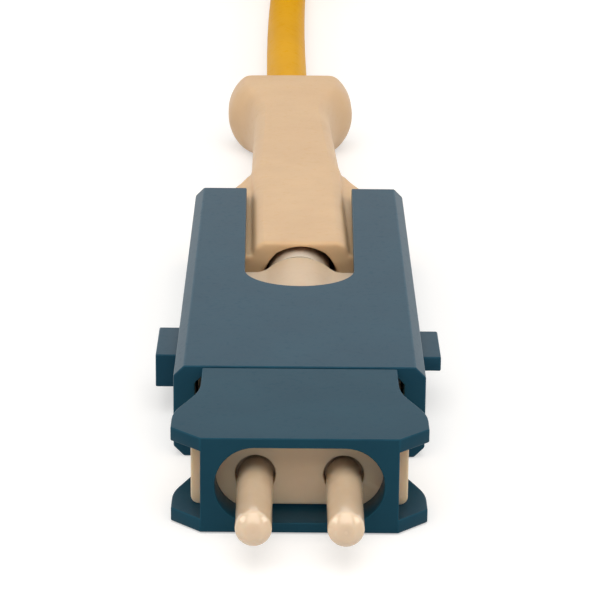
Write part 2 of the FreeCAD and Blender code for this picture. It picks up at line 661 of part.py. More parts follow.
near_plug = Plug("", Size(0.0, "0"), -(d.flange_rear - d.ferrule_reach) / 2, False)
far_plug = Plug("far_", d.far_plug_x, d.far_plug_y + d.flange_rear, True)
nodes = build_plug(near_plug, DRIVING["boot_lean"])
nodes += build_plug(far_plug, 0.0)
nodes.append(tube("cable_run", [Vector(*p) for p in NEAR_ROUTE], d.cable_dia))
nodes.append(tube("cable_tail", [Vector(*p) for p in FAR_ROUTE], d.cable_dia))
hank_piece, hank_top = hank()
nodes += [hank_piece.body, tie(hank_top).body]

# Every object has to be sound before anything is written
doc.recompute()
for item in doc.Objects:
    if "Invalid" in item.State or "Error" in item.State:
        raise RuntimeError("%s failed: %s" % (item.Name, item.State))
for node in nodes:
    if node.Shape.isNull() or not node.Shape.isValid() or len(node.Shape.Solids) != 1:
        raise RuntimeError("%s is not one sound solid" % node.Label)

os.makedirs("parts", exist_ok=True)
for node in nodes:
    node.Shape.exportStep("parts/%s.step" % node.Label)
print("%d nodes written" % len(nodes))
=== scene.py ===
import json
import math

import bmesh
import bpy
from mathutils import Matrix, Vector

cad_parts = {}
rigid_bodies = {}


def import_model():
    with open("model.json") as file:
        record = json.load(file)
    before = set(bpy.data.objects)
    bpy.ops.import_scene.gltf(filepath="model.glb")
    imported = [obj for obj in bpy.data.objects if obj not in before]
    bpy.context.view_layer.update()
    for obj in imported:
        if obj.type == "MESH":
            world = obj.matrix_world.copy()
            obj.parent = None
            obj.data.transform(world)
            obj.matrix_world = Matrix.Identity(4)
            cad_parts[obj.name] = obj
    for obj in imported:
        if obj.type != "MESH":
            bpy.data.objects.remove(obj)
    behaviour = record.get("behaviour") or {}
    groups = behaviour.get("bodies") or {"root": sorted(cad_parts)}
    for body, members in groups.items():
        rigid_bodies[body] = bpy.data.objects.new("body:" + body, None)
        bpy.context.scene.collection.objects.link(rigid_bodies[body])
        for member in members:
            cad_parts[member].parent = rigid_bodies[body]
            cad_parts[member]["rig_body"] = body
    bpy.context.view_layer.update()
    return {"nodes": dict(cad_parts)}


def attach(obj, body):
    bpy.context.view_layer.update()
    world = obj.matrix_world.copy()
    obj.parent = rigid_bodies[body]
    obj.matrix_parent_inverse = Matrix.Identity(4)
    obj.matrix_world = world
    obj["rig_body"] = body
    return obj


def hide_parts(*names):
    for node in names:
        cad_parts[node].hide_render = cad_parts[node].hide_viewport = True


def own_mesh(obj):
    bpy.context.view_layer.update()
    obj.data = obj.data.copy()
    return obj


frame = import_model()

# A two-fibre push-pull plug on a round yellow cable, seen from its nose. The cable runs back out of the view
# to a tied hank, and the same plug is on its far end. Sizes are in millimetres unless a line says otherwise,
# and a plug's own Y runs from its nose to its boot.

MM = 0.001
scene = bpy.context.scene


def linked(name, data):
    """A new object in the scene for this data."""
    made = bpy.data.objects.new(name, data)
    scene.collection.objects.link(made)
    return made


# Camera, with its angles in degrees

CAMERA_PLACE = (-0.4244, -114.5456, 37.6418)
CAMERA_DOWN, CAMERA_TURN, CAMERA_ROLL = 18.0, -0.2413, 0.5442
CAMERA_LENS, SENSOR_WIDE = 166.88, 36.0
NEAREST_METRES, FARTHEST_METRES = 0.005, 20.0


def set_up_camera():
    """A long lens that looks down on the nose as the photograph does."""
    down, turn, roll = (math.radians(a) for a in (CAMERA_DOWN, CAMERA_TURN, CAMERA_ROLL))
    ahead = Vector((-math.sin(turn) * math.cos(down), math.cos(turn) * math.cos(down), -math.sin(down)))
    side = Vector((math.cos(turn), math.sin(turn), 0.0))
    up = side.cross(ahead)
    right = side * math.cos(roll) + up * math.sin(roll)
    top = up * math.cos(roll) - side * math.sin(roll)
    lens = bpy.data.cameras.new("photo_camera")
    lens.lens = CAMERA_LENS
    lens.sensor_width = SENSOR_WIDE
    lens.clip_start = NEAREST_METRES
    lens.clip_end = FARTHEST_METRES
    camera = linked("photo_camera", lens)
    turned = Matrix((right, top, -ahead)).transposed().to_4x4()
    camera.matrix_world = Matrix.Translation(Vector(CAMERA_PLACE) * MM) @ turned
    scene.camera = camera


# Node trees

class Recipe:
    """Adds nodes to one tree. An input is a plain value or another node's socket."""

    def __init__(self, tree):
        self.tree = tree

    def add(self, kind, inputs=None, **settings):
        made = self.tree.nodes.new(kind)
        for key, value in settings.items():
            setattr(made, key, value)
        for key, value in (inputs or {}).items():
            self.feed(made.inputs[key], value)
        return made

    def feed(self, socket, value):
        if isinstance(value, bpy.types.NodeSocket):
            self.tree.links.new(value, socket)
        else:
            socket.default_value = value

    def math(self, operation, first, second=0.0):
        return self.add("ShaderNodeMath", {0: first, 1: second}, operation=operation).outputs[0]

    def between(self, value, low, high):
        """Takes 0 to 1 onto low to high."""
        ranged = self.add("ShaderNodeMapRange", {"Value": value, "To Min": low, "To Max": high})
        return ranged.outputs["Result"]

    def share(self, value, low, high):
        """Takes low to high onto 0 to 1."""
        ranged = self.add("ShaderNodeMapRange", {"Value": value, "From Min": low, "From Max": high})
        return ranged.outputs["Result"]

    def mixed(self, share, first, second):
        """Two colours mixed by a share."""
        mix = self.add("ShaderNodeMix", data_type="RGBA")
        for name, value in (("Factor_Float", share), ("A_Color", first), ("B_Color", second)):
            self.feed(next(s for s in mix.inputs if s.identifier == name), value)
        return next(s for s in mix.outputs if s.identifier == "Result_Color")

    def place(self):
        return self.add("ShaderNodeTexCoord").outputs["Object"]

    def stretched(self, scale):
        """The object's own place, scaled differently along each axis."""
        mapping = self.add("ShaderNodeMapping", {"Vector": self.place(), "Scale": scale})
        return mapping.outputs["Vector"]

    def noise(self, where, scale, detail, roughness=0.5):
        inputs = {"Vector": where, "Scale": scale, "Detail": detail, "Roughness": roughness}
        return self.add("ShaderNodeTexNoise", inputs).outputs["Fac"]


def shader_group(name, inputs, outputs):
    """A shader group with float inputs {name: default} and outputs, its recipe and its two end nodes."""
    group = bpy.data.node_groups.new(name, "ShaderNodeTree")
    for title, value in inputs.items():
        socket = group.interface.new_socket(title, in_out="INPUT", socket_type="NodeSocketFloat")
        socket.default_value = value
    for title in outputs:
        group.interface.new_socket(title, in_out="OUTPUT", socket_type="NodeSocketFloat")
    recipe = Recipe(group)
    return group, recipe, recipe.add("NodeGroupInput").outputs, recipe.add("NodeGroupOutput").inputs


def mould_grain_group():
    """The fine grain that a sparked mould leaves, and the slow unevenness of the colour under it."""
    group, recipe, given, result = shader_group(
        "mould_grain", {"Grains per metre": 14000.0, "Patches per metre": 420.0},
        ("Height", "Patches", "Specks"))
    where = recipe.place()
    grain = recipe.noise(where, given["Grains per metre"], 3.0, 0.6)
    patches = recipe.noise(where, given["Patches per metre"], 4.0, 0.55)
    specks = recipe.noise(where, recipe.math("MULTIPLY", given["Grains per metre"], 0.35), 2.0)
    recipe.feed(result["Height"], grain)
    recipe.feed(result["Patches"], recipe.share(patches, 0.3, 0.7))
    recipe.feed(result["Specks"], recipe.share(specks, 0.56, 0.74))
    return group


def edge_rub_group():
    """Where rounded edges have been rubbed by handling, broken up so that no edge is worn evenly."""
    group, recipe, given, result = shader_group("edge_rub", {"Amount": 0.5}, ("Mask",))
    edge = recipe.add("ShaderNodeAttribute", attribute_name="rounded_edge").outputs["Fac"]
    broken = recipe.share(recipe.noise(recipe.place(), 900.0, 3.0), 0.35, 0.65)
    worn = recipe.math("MULTIPLY", edge, broken)
    recipe.feed(result["Mask"], recipe.math("MULTIPLY", worn, given["Amount"]))
    return group


def settled_dust_group():
    """A thin film of dust on faces that look up."""
    group, recipe, given, result = shader_group("settled_dust", {"Amount": 0.1}, ("Mask",))
    facing = recipe.add("ShaderNodeNewGeometry").outputs["Normal"]
    upward = recipe.add("ShaderNodeSeparateXYZ", {0: facing}).outputs["Z"]
    film = recipe.share(recipe.noise(recipe.place(), 2600.0, 5.0, 0.7), 0.38, 0.72)
    lying = recipe.math("MULTIPLY", recipe.share(upward, 0.55, 0.95), film)
    recipe.feed(result["Mask"], recipe.math("MULTIPLY", lying, given["Amount"]))
    return group


MOULD_GRAIN = mould_grain_group()
EDGE_RUB = edge_rub_group()
SETTLED_DUST = settled_dust_group()


def group_node(recipe, group, **values):
    """A group's outputs, with its inputs set by their names, written with underscores."""
    made = recipe.add("ShaderNodeGroup", node_tree=group)
    for title, value in values.items():
        recipe.feed(made.inputs[title.replace("_", " ")], value)
    return made.outputs


# Materials

def new_material(name, **plain):
    """A material, its recipe and its shader's inputs, with the plain values set straight on the sockets."""
    material = bpy.data.materials.new(name)
    material.use_nodes = True
    recipe = Recipe(material.node_tree)
    shader = material.node_tree.nodes["Principled BSDF"]
    for title, value in plain.items():
        shader.inputs[title.replace("_", " ")].default_value = value
    return material, recipe, shader.inputs


def bumped(recipe, inputs, height, strength, depth):
    """Fine relief of a given depth on the shader's normal."""
    bump = recipe.add("ShaderNodeBump", {"Height": height, "Strength": strength, "Distance": depth * MM})
    recipe.feed(inputs["Normal"], bump.outputs["Normal"])


def moulded_plastic(name, shades, dust, dusty, rubbed, rub, roughness, grain, grain_depth, **plain):
    """A moulded plastic: patches of two shades, fine grain, a little dust on top and rubbed edges."""
    material, recipe, inputs = new_material(name, **plain)
    surface = group_node(recipe, MOULD_GRAIN, Grains_per_metre=grain)
    shade = recipe.mixed(surface["Patches"], *shades)
    dusted = recipe.mixed(group_node(recipe, SETTLED_DUST, Amount=dusty)["Mask"], shade, dust)
    worn = recipe.mixed(group_node(recipe, EDGE_RUB, Amount=rub)["Mask"], dusted, rubbed)
    recipe.feed(inputs["Base Color"], worn)
    recipe.feed(inputs["Roughness"], recipe.between(surface["Specks"], *roughness))
    bumped(recipe, inputs, surface["Height"], 0.35, grain_depth)
    return material


# Values that two finishes share
CERAMIC_SHADES = ((0.64, 0.49, 0.34, 1), (0.7, 0.55, 0.395, 1))
POLISHED = (0.08, 0.15)


def ferrule_ceramic():
    """Ground and polished white ceramic with faint grinding rings round it."""
    material, recipe, inputs = new_material(
        "polished_ceramic", IOR=1.9, Specular_IOR_Level=0.4, Subsurface_Weight=0.7,
        Subsurface_Scale=0.9 * MM, Subsurface_Radius=(1.0, 0.8, 0.6))
    surface = group_node(recipe, MOULD_GRAIN, Grains_per_metre=9000.0, Patches_per_metre=600.0)
    rings = recipe.noise(recipe.stretched((40.0, 16000.0, 40.0)), 1.0, 2.0)
    recipe.feed(inputs["Base Color"], recipe.mixed(surface["Patches"], *CERAMIC_SHADES))
    recipe.feed(inputs["Roughness"], recipe.between(surface["Patches"], *POLISHED))
    bumped(recipe, inputs, rings, 0.12, 0.004)
    return material


def fibre_end_glass():
    """The polished glass end of a fibre in the middle of its ferrule, which shows the ceramic's colour."""
    material, recipe, inputs = new_material("fibre_end_glass", IOR=1.46)
    surface = group_node(recipe, MOULD_GRAIN, Grains_per_metre=30000.0)
    recipe.feed(inputs["Base Color"], recipe.mixed(surface["Patches"], *CERAMIC_SHADES))
    recipe.feed(inputs["Roughness"], recipe.between(surface["Specks"], *POLISHED))
    return material


def turned_metal(name, shades, roughness, lines_along):
    """A drawn or turned metal: fine lines and a slight tarnish."""
    material, recipe, inputs = new_material(name, Metallic=1.0)
    surface = group_node(recipe, MOULD_GRAIN, Grains_per_metre=12000.0, Patches_per_metre=900.0)
    lines = recipe.noise(recipe.stretched(lines_along), 1.0, 3.0)
    recipe.feed(inputs["Base Color"], recipe.mixed(surface["Patches"], *shades))
    recipe.feed(inputs["Roughness"], recipe.between(lines, *roughness))
    bumped(recipe, inputs, lines, 0.2, 0.006)
    return material


def coated_fibre():
    """Clear-over-white fibre coating, slightly uneven in colour."""
    material, recipe, inputs = new_material("coated_fibre", IOR=1.5)
    surface = group_node(recipe, MOULD_GRAIN, Grains_per_metre=16000.0, Patches_per_metre=1200.0)
    shade = recipe.mixed(surface["Patches"], (0.78, 0.8, 0.8, 1), (0.86, 0.87, 0.86, 1))
    recipe.feed(inputs["Base Color"], shade)
    recipe.feed(inputs["Roughness"], recipe.between(surface["Specks"], 0.18, 0.3))
    bumped(recipe, inputs, surface["Height"], 0.15, 0.004)
    return material


def yellow_jacket():
    """Extruded yellow jacket: satin, a little cloudy, with faint die ripples."""
    material, recipe, inputs = new_material(
        "yellow_jacket", Specular_IOR_Level=0.07, Subsurface_Weight=0.06,
        Subsurface_Scale=0.4 * MM, Subsurface_Radius=(1.0, 0.6, 0.1))
    surface = group_node(recipe, MOULD_GRAIN, Grains_per_metre=7000.0, Patches_per_metre=160.0)
    ripple = recipe.noise(recipe.place(), 1500.0, 2.0)
    dust = group_node(recipe, SETTLED_DUST, Amount=0.04)["Mask"]
    shade = recipe.mixed(surface["Patches"], (0.66, 0.325, 0.003, 1), (0.72, 0.365, 0.005, 1))
    recipe.feed(inputs["Base Color"], recipe.mixed(dust, shade, (0.76, 0.46, 0.06, 1)))
    recipe.feed(inputs["Roughness"], recipe.between(surface["Specks"], 0.48, 0.6))
    height = recipe.math("ADD", recipe.math("MULTIPLY", surface["Height"], 0.4), ripple)
    bumped(recipe, inputs, height, 0.2, 0.03)
    return material


def woven_strap():
    """Black hook-and-loop strap: a close weave with stray fluff."""
    material, recipe, inputs = new_material("woven_strap", Specular_IOR_Level=0.25, Sheen_Weight=0.35,
                                            Sheen_Roughness=0.5)
    where = recipe.place()
    thread = {"Vector": where, "Scale": 900.0, "Distortion": 1.2, "Detail": 2.0}
    warp, weft = (recipe.add("ShaderNodeTexWave", thread, bands_direction=direction).outputs["Fac"]
                  for direction in ("Y", "DIAGONAL"))
    fluff = recipe.noise(where, 5200.0, 4.0)
    weave = recipe.math("MULTIPLY", warp, weft)
    height = recipe.math("ADD", weave, recipe.math("MULTIPLY", fluff, 0.6))
    shade = recipe.mixed(weave, (0.012, 0.012, 0.014, 1), (0.05, 0.05, 0.055, 1))
    recipe.feed(inputs["Base Color"], shade)
    recipe.feed(inputs["Roughness"], recipe.between(fluff, 0.7, 0.95))
    bumped(recipe, inputs, height, 0.6, 0.08)
    return material


BLUE_PLASTIC = moulded_plastic(
    "blue_latch_plastic", shades=((0.006, 0.046, 0.08, 1), (0.0075, 0.053, 0.089, 1)),
    dust=(0.07, 0.12, 0.15, 1), dusty=0.03, rubbed=(0.015, 0.095, 0.15, 1), rub=0.25,
    roughness=(0.34, 0.4), grain=15000.0, grain_depth=0.0015, Specular_IOR_Level=0.1)
BLUE_NOSE = moulded_plastic(
    "blue_nose_plastic", shades=((0.0075, 0.046, 0.076, 1), (0.009, 0.053, 0.085, 1)),
    dust=(0.06, 0.12, 0.15, 1), dusty=0.02, rubbed=(0.015, 0.09, 0.14, 1), rub=0.25,
    roughness=(0.34, 0.4), grain=15000.0, grain_depth=0.0015, Specular_IOR_Level=0.065)
CREAM_BOOT = moulded_plastic(
    "cream_boot_plastic", shades=((0.61, 0.41, 0.235, 1), (0.66, 0.455, 0.265, 1)),
    dust=(0.66, 0.5, 0.34, 1), dusty=0.06, rubbed=(0.72, 0.53, 0.34, 1), rub=0.3,
    roughness=(0.42, 0.55), grain=11000.0, grain_depth=0.005, Specular_IOR_Level=0.22,
    Subsurface_Weight=0.2, Subsurface_Scale=0.5 * MM, Subsurface_Radius=(1.0, 0.6, 0.35))
CREAM_INNER = moulded_plastic(
    "cream_inner_plastic", shades=((0.56, 0.42, 0.285, 1), (0.62, 0.47, 0.325, 1)),
    dust=(0.64, 0.52, 0.39, 1), dusty=0.06, rubbed=(0.7, 0.56, 0.42, 1), rub=0.3,
    roughness=(0.36, 0.48), grain=12000.0, grain_depth=0.005, Specular_IOR_Level=0.22,
    Subsurface_Weight=0.4, Subsurface_Scale=0.8 * MM, Subsurface_Radius=(1.0, 0.65, 0.4))
# A lighter copy of the inner cream plastic: painted light for the holder's recessed front face, which the
# lamps reach less than the deck.
CREAM_HOLDER_PAINTED_LIGHT = moulded_plastic(
    "cream_holder_plastic_painted_light", shades=((0.7, 0.53, 0.37, 1), (0.76, 0.58, 0.41, 1)),
    dust=(0.76, 0.6, 0.44, 1), dusty=0.03, rubbed=(0.8, 0.63, 0.47, 1), rub=0.3,
    roughness=(0.4, 0.52), grain=12000.0, grain_depth=0.005, Specular_IOR_Level=0.2,
    Subsurface_Weight=0.5, Subsurface_Scale=1.0 * MM, Subsurface_Radius=(1.0, 0.65, 0.4))
CERAMIC = ferrule_ceramic()
FIBRE_END = fibre_end_glass()
PLATED_METAL = turned_metal(
    "plated_ring_metal", shades=((0.76, 0.7, 0.61, 1), (0.66, 0.6, 0.51, 1)), roughness=(0.45, 0.6),
    lines_along=(300.0, 14000.0, 300.0))
# Its beige-brown shades are painted shade: seen through the gaps round the ferrules, the hub shows as the
# brown shading inside their holes.
HUB_METAL_PAINTED_SHADE = turned_metal(
    "dull_hub_metal_painted_shade", shades=((0.45, 0.35, 0.26, 1), (0.36, 0.28, 0.2, 1)), roughness=(0.5, 0.65),
    lines_along=(300.0, 14000.0, 300.0))
SPRING_STEEL = turned_metal(
    "spring_wire_steel", shades=((0.56, 0.56, 0.57, 1), (0.42, 0.42, 0.43, 1)), roughness=(0.2, 0.36),
    lines_along=(5000.0, 9000.0, 5000.0))
FIBRE_COAT = coated_fibre()
JACKET = yellow_jacket()
STRAP = woven_strap()

# The record's slot for each finish that goes on a CAD node's shape
SLOTS = {BLUE_PLASTIC.name: "blue_plastic", BLUE_NOSE.name: "blue_plastic",
         CREAM_INNER.name: "cream_plastic", CREAM_HOLDER_PAINTED_LIGHT.name: "cream_plastic",
         PLATED_METAL.name: "ring_metal", HUB_METAL_PAINTED_SHADE.name: "ring_metal", FIBRE_COAT.name: "fibre_coating"}


# Cable: the ends of its route follow the part's source, and the turns of its hank are worked out here

NEAR_ROUTE = ((0.00, 2.975, 1.78), (-0.80, 35.0, 1.78), (-0.62, 68.0, 1.12))
FAR_ROUTE = ((8.25, 118.0, 1.12), (4.58, 127.8, 1.62), (4.36, 144.5, 1.80), (4.40, 158.9, 1.78))
CABLE_DIA = 2.2
HANK_MIDDLE_Y, HANK_RUN = 94.1, 35.0
FLOOR_LEVEL, LEVEL_STEP, STRAP_LIFT = 1.12, 2.25, 0.5
INNER_FOLD, OUTER_FOLD = 6.95, 9.2
INNER_WAIST, OUTER_WAIST, ENTRY_X = 0.28, 2.47, 0.65
INNER_TURNS, ALL_TURNS = 4, 7
TURN_STEPS, QUARTER_STEPS, LAST_STEPS = 16, 4, 3
# The last inner turn moves outwards over these steps
CROSSING_FROM, CROSSING_STEPS = 9, 5.0
# A turn's steps on the straight runs: right or left side, and the share of the half run from its middle
RUNS = {0: (1.0, 0.0), 1: (1.0, 0.5), 2: (1.0, 1.0), 6: (-1.0, 1.0), 7: (-1.0, 0.5), 8: (-1.0, 0.0),
        9: (-1.0, -0.5), 10: (-1.0, -1.0), 14: (1.0, -1.0), 15: (1.0, -0.5)}
# A turn's steps round the folds: far or near end, and the angle in degrees
FOLDS = {3: (1.0, 45.0), 4: (1.0, 90.0), 5: (1.0, 135.0),
         11: (-1.0, 45.0), 12: (-1.0, 90.0), 13: (-1.0, 135.0)}


def hank_level(turn, quarter, share):
    """How many cables high a turn lies. Its quarters: the right run's far half, the far fold with the left
    run's far half, the left run's near half with the near fold, and the right run's near half."""
    if turn >= INNER_TURNS:
        return ALL_TURNS - turn - (0.0, share, 1.0 - share, share)[quarter]
    level = turn + (0.0, 0.0, share, 1.0)[quarter]
    if turn == INNER_TURNS - 1 and quarter == 3:
        return level - share
    return level


def hank_points():
    """Sixteen points a turn: up the right run, round the far fold, down the left run, round the near fold.
    The inner turns rise one on another, and the outer ones come down round them to the floor."""
    half = HANK_RUN / 2
    points = []
    for count in range(ALL_TURNS * TURN_STEPS + LAST_STEPS):
        turn, step = divmod(count, TURN_STEPS)
        quarter, part = divmod(step, QUARTER_STEPS)
        outside = float(turn >= INNER_TURNS)
        if turn == INNER_TURNS - 1 and step > CROSSING_FROM:
            outside = min(1.0, (step - CROSSING_FROM) / CROSSING_STEPS)
        fold = INNER_FOLD + (OUTER_FOLD - INNER_FOLD) * outside
        waist = INNER_WAIST + (OUTER_WAIST - INNER_WAIST) * outside
        if step in FOLDS:
            end, degrees = FOLDS[step]
            angle = math.radians(degrees)
            x = fold * math.cos(angle) * end
            along = end * (half + fold * math.sin(angle))
        else:
            side, share = RUNS[step]
            along = half * share
            x = side * (fold - (fold - waist) * math.cos(math.pi * along / HANK_RUN) ** 2)
        if not points:
            x = ENTRY_X
        level = hank_level(turn, quarter, part / QUARTER_STEPS)
        lift = STRAP_LIFT * math.cos(math.pi * min(abs(along), half) / HANK_RUN) ** 4
        points.append((x, HANK_MIDDLE_Y + along, FLOOR_LEVEL + LEVEL_STEP * level + lift))
    return points


def cable_curve():
    """The whole cable as one smooth line: out of the near plug, round the hank and into the far plug."""
    points = NEAR_ROUTE + tuple(hank_points()) + FAR_ROUTE
    curve = bpy.data.curves.new("cable", "CURVE")
    curve.dimensions = "3D"
    line = curve.splines.new("NURBS")
    line.points.add(len(points) - 1)
    for spot, place in zip(line.points, points):
        spot.co = (*(Vector(place) * MM), 1.0)
    line.order_u = 3
    line.use_endpoint_u = True
    line.resolution_u = 8
    curve.bevel_depth = CABLE_DIA / 2 * MM
    curve.bevel_resolution = 4
    curve.use_fill_caps = True
    curve.materials.append(JACKET)
    cable = linked("cable", curve)
    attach(cable, "core")
    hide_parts("cable_run", "cable_hank", "cable_tail")
    return cable


# Meshes

SHARPEST_SMOOTH, DECK_SMOOTH = math.radians(50.0), math.radians(14.0)
FLAT_ANGLE, EDGE_ANGLE = math.radians(0.4), math.radians(28.0)
SAME_PLACE = 0.002


def finished(name, mesh, body, slot, replaced, *materials):
    """A piece in its place, riding on its body and standing for its CAD node."""
    piece = linked(name, mesh)
    for material in materials:
        mesh.materials.append(material)
    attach(piece, body)
    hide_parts(replaced)
    return piece


def mesh_of(name, form, matrix=None):
    """The bmesh as a smooth mesh with outward normals, moved by the matrix where one is given."""
    bmesh.ops.recalc_face_normals(form, faces=form.faces)
    mesh = bpy.data.meshes.new(name)
    if matrix is not None:
        form.transform(matrix)
    form.to_mesh(mesh)
    form.free()
    mesh.shade_smooth()
    return mesh


def skin(form, rings, closed=False):
    """Points in rings, with faces from each ring to the next, and from last to first where closed."""
    made = [[form.verts.new(place) for place in ring] for ring in rings]
    following = made[1:] + made[:1] if closed else made[1:]
    count = len(made[0])
    for near, far in zip(made, following):
        for k in range(count):
            form.faces.new((near[k], near[(k + 1) % count], far[(k + 1) % count], far[k]))
    return made


def softened(node, name, radius, material, reshape=None, smooth_to=SHARPEST_SMOOTH):
    """A copy of a CAD node, merged, with its outer edges rounded to a moulded radius where one is given."""
    cad = frame["nodes"][node]
    form = bmesh.new()
    form.from_mesh(cad.data)
    bmesh.ops.remove_doubles(form, verts=form.verts, dist=SAME_PLACE * MM)
    rounded = form.faces.layers.float.new("rounded_edge")
    if reshape:
        reshape(form)
    if radius:
        bmesh.ops.dissolve_limit(form, angle_limit=FLAT_ANGLE, verts=form.verts, edges=form.edges)
        outer = [e for e in form.edges
                 if len(e.link_faces) == 2 and e.is_convex and e.calc_face_angle() > EDGE_ANGLE]
        made = bmesh.ops.bevel(form, geom=outer, offset=radius * MM, offset_type="OFFSET", segments=2,
                               profile=0.5, affect="EDGES", clamp_overlap=False)
        for face in made["faces"]:
            face[rounded] = 1.0
    mesh = mesh_of(name, form)
    # The CAD mesh's own normals no longer fit the new faces
    packed_normals = mesh.attributes.get("custom_normal")
    if packed_normals:
        mesh.attributes.remove(packed_normals)
    mesh.set_sharp_from_angle(angle=smooth_to)
    piece = finished(name, mesh, cad["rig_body"], SLOTS[material.name], node, material)
    even = piece.modifiers.new("even_faces", "WEIGHTED_NORMAL")
    even.keep_sharp = True
    return piece


# Boot

BOOT_FRONT, BOOT_REAR, LEAN_Y = 23.4, 53.9, 27.6
TONGUE_WIDE, TONGUE_HIGH, TONGUE_ROUND = 2.07, 1.75, 0.5
SHOULDER_WIDE, SHOULDER_HIGH, SHOULDER_EDGE, LUG_PROUD = 3.7, 1.15, 0.2, 0.55
# The tongue's wall keeps this height over the shoulder, and the valley rises this much at its foot
LEAST_WALL, VALLEY_RISE = 0.1, 0.06
RING_BORE, CABLE_BORE = 1.53, 1.4
BORE_STEP, BORE_SLOPE, BORE_MIDDLE = 29.7, 0.12, 46.0
# The bore's mouths: how much wider they are, and where the front one starts and ends behind the boot's front
REAR_MOUTH, FRONT_MOUTH = 0.08, 0.07
MOUTH_START, MOUTH_END = 0.02, 0.2
FLANGE_HALF_WIDE, FLANGE_HALF_FLAT, FLANGE_HIGH = 3.25, 2.35, 1.78
# How much thinner and rounder than the tongue the wrist is, in full and where the flare starts
WRIST_THINNER, WRIST_ROUNDER = 0.26, 0.1
FLARE_THINNER, FLARE_ROUNDER = 0.2, 0.08
# Stations along the boot: the distance from its front with the inset, then Y with the lug, Y with the
# shoulder's half width and rise, and twice Y with a share
FRONT_STATIONS = ((0.0, 0.15), (0.05, 0.05))
LUG_STATIONS = ((BOOT_FRONT + 0.22, 0.0), (24.2, 0.0), (27.45, 0.0), (27.62, LUG_PROUD), (29.38, LUG_PROUD),
                (29.55, 0.0), (30.2, 0.0))
TAPER_STATIONS = ((31.0, SHOULDER_WIDE, 0.03), (31.8, 3.62, 0.09), (32.5, 3.4, 0.15), (33.4, 3.02, 0.2),
                  (34.5, 2.55, 0.24), (35.6, TONGUE_WIDE + 0.12, 0.27))
WRIST_STATIONS = ((36.6, 0.02), (38.5, 0.15), (42.0, 0.38), (45.5, 0.62), (47.0, 0.72))
FLARE_STATIONS = ((48.0, 0.06), (48.9, 0.16), (49.7, 0.31), (50.4, 0.52), (50.95, 0.74), (51.4, 0.9),
                  (51.9, 0.99), (52.5, 1.0), (53.4, 1.0), (53.72, 0.98), (BOOT_REAR, 0.9))


def tongue_quarter(wide, high, rounding, shoulder, level, lug):
    """A quarter of the boot's outline, from top to side: crown, corner, valley and shoulder plate."""
    corner = min(rounding, high - level - LEAST_WALL)
    edge = min(SHOULDER_EDGE, (shoulder - wide) / 2)
    return [(0.0, high), (0.4 * wide, high), (0.75 * wide, high), (wide - rounding, high),
            (wide - 0.3 * corner, high - 0.3 * corner), (wide, high - corner),
            (wide + 0.15 * edge, level + VALLEY_RISE), (wide + 0.8 * edge, level),
            ((wide + shoulder) / 2, level), (shoulder - edge, level), (shoulder + lug, level - edge - lug),
            (shoulder + lug, 0.0)]


def wrist_quarter(wide, high, rounding):
    """A quarter of the plain rounded outline between the shoulders and the flange."""
    side = [(wide, (high - rounding) * k / 6.0) for k in range(6, -1, -1)]
    return [(0.0, high), (0.4 * wide, high), (0.75 * wide, high), (wide - rounding, high),
            (wide - 0.3 * rounding, high - 0.3 * rounding)] + side


def flange_quarter(wide, half_flat, high):
    """A quarter of the grip flange: flat on top, with a wide arc for its end."""
    bulge = wide - half_flat
    radius = (bulge * bulge + high * high) / (2 * bulge)
    middle = wide - radius
    corner = math.asin(high / radius)
    arc = [corner * 0.9 * (1 - k / 6.0) for k in range(7)]
    top = [(0.0, high), (0.35 * half_flat, high), (0.68 * half_flat, high), (0.9 * half_flat, high),
           (0.985 * half_flat, 0.985 * high)]
    return top + [(middle + radius * math.cos(a), radius * math.sin(a)) for a in arc]


def whole_ring(quarter, y):
    """The full outline from its quarter: top middle, right, bottom, left."""
    right = quarter + [(x, -z) for x, z in reversed(quarter[:-1])]
    left = [(-x, z) for x, z in reversed(right[1:-1])]
    return [Vector((x, y, z)) for x, z in right + left]


def bore_ring(outline, radius, y):
    """The bore's circle, with its points in line with the outline's."""
    return [Vector((p.x, 0.0, p.z)).normalized() * radius + Vector((0.0, y, 0.0)) for p in outline]


def tongue_rings():
    """The tongue and its shoulders, from the rounded front to where the shoulders have run out."""
    stations = []  # Y, inset, the shoulder's half width and half height, how far its lug stands out
    for back, inset in FRONT_STATIONS:
        stations.append((BOOT_FRONT + back, inset, SHOULDER_WIDE - inset, SHOULDER_HIGH - inset, 0.0))
    for y, lug in LUG_STATIONS:
        stations.append((y, 0.0, SHOULDER_WIDE, SHOULDER_HIGH, lug))
    for y, shoulder, rise in TAPER_STATIONS:
        stations.append((y, 0.0, shoulder, SHOULDER_HIGH + rise, 0.0))
    rings = []
    for y, inset, shoulder, level, lug in stations:
        wide, high = TONGUE_WIDE - inset, TONGUE_HIGH - inset
        rings.append(whole_ring(tongue_quarter(wide, high, TONGUE_ROUND, shoulder, level, lug), y))
    return rings


def wrist_rings():
    """The wrist, thinner towards the rear, and its flare into the grip flange."""
    rings = []
    for y, share in WRIST_STATIONS:
        thinner = WRIST_THINNER * share
        rounding = TONGUE_ROUND + WRIST_ROUNDER * share
        rings.append(whole_ring(wrist_quarter(TONGUE_WIDE - thinner, TONGUE_HIGH - thinner, rounding), y))
    wrist = wrist_quarter(TONGUE_WIDE - FLARE_THINNER, TONGUE_HIGH - FLARE_THINNER,
                          TONGUE_ROUND + FLARE_ROUNDER)
    disc = flange_quarter(FLANGE_HALF_WIDE, FLANGE_HALF_FLAT, FLANGE_HIGH)
    for y, share in FLARE_STATIONS:
        flared = [(a[0] + (b[0] - a[0]) * share, a[1] + (b[1] - a[1]) * share) for a, b in zip(wrist, disc)]
        rings.append(whole_ring(flared, y))
    return rings


